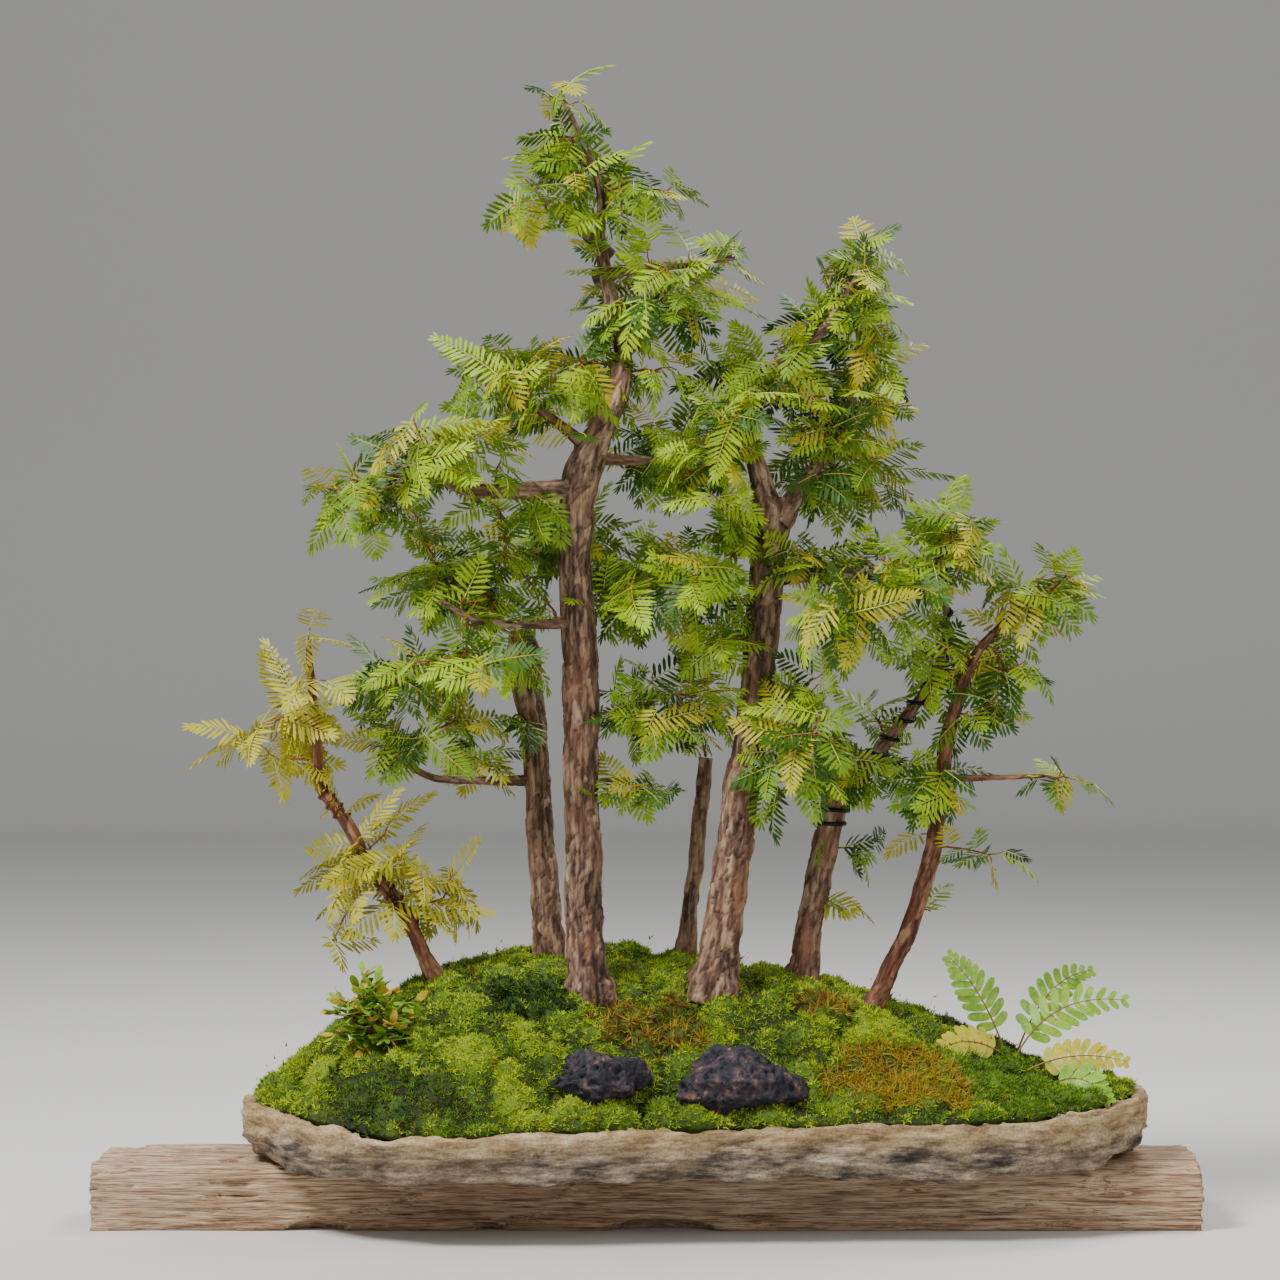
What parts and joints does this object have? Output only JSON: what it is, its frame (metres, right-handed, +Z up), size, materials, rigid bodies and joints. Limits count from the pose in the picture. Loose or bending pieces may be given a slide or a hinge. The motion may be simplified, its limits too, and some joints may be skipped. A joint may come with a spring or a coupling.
{
  "type": "dawn redwood bonsai forest",
  "caption": "Forest bonsai of dawn redwoods on a moss mound with lava stones and ferns, in a rock tray on a weathered board.",
  "frame": {"origin": "middle of the weathered board's flat underside, on the surface it stands on", "axes": "+X to the right seen from the front, +Y to the back, +Z up"},
  "size_m": [0.721, 0.297, 0.745],
  "materials": {
    "weathered_wood": "dry weathered softwood, matt",
    "rock": "rough cast rock with ochre lip and black streaks",
    "moss": "damp soil under living moss, matt",
    "lava": "porous lava, matt",
    "bark": "fissured fibrous bark, matt",
    "foliage": "soft flat needles, satin",
    "foliage_gold": "golden autumn needles, satin",
    "fern": "fern leaf, satin",
    "shrub_leaves": "small glossy leaves"
  },
  "bodies": {
    "root": {"board": "weathered_wood", "bough_back_left_high": "bark", "bough_back_left_low": "bark", "bough_far_right_side": "bark", "bough_main_left_below": "bark", "bough_main_left_high": "bark", "bough_main_left_low": "bark", "bough_main_left_top": "bark", "bough_main_right": "bark", "bough_main_right_top": "bark", "bough_right_stub_wired": "bark", "bough_second_leader": "bark", "bough_second_right": "bark", "bough_second_right_limb": "bark", "fern_frond_left": "fern", "fern_frond_low": "fern", "fern_frond_right": "fern", "foliage_back_left_high": "foliage", "foliage_back_left_low": "foliage", "foliage_centre": "foliage", "foliage_centre_low": "foliage", "foliage_far_left_high": "foliage_gold", "foliage_far_left_low": "foliage_gold", "foliage_far_right_low": "foliage", "foliage_far_right_mid": "foliage", "foliage_far_right_side": "foliage", "foliage_far_right_top": "foliage", "foliage_main_back": "foliage", "foliage_main_far_left": "foliage", "foliage_main_left": "foliage", "foliage_main_low_left": "foliage", "foliage_main_mid_left": "foliage", "foliage_main_neck": "foliage", "foliage_main_right": "foliage", "foliage_main_top": "foliage", "foliage_main_top_left": "foliage", "foliage_main_top_right": "foliage", "foliage_main_upper": "foliage", "foliage_second_crown": "foliage", "foliage_second_far_right": "foliage", "foliage_second_left": "foliage", "foliage_second_low": "foliage", "foliage_second_right_high": "foliage", "foliage_second_right_low": "foliage", "foliage_second_right_mid": "foliage", "foliage_second_top": "foliage", "foliage_stub_right": "foliage", "foliage_stub_wired": "foliage", "lava_stone_large": "lava", "lava_stone_small": "lava", "moss_mound": "moss", "shrub": "shrub_leaves", "tray": "rock", "trunk_back_left": "bark", "trunk_centre_slim": "bark", "trunk_far_left": "bark", "trunk_far_right": "bark", "trunk_main": "bark", "trunk_right_stub": "bark", "trunk_second": "bark"}
  },
  "joints": []
}
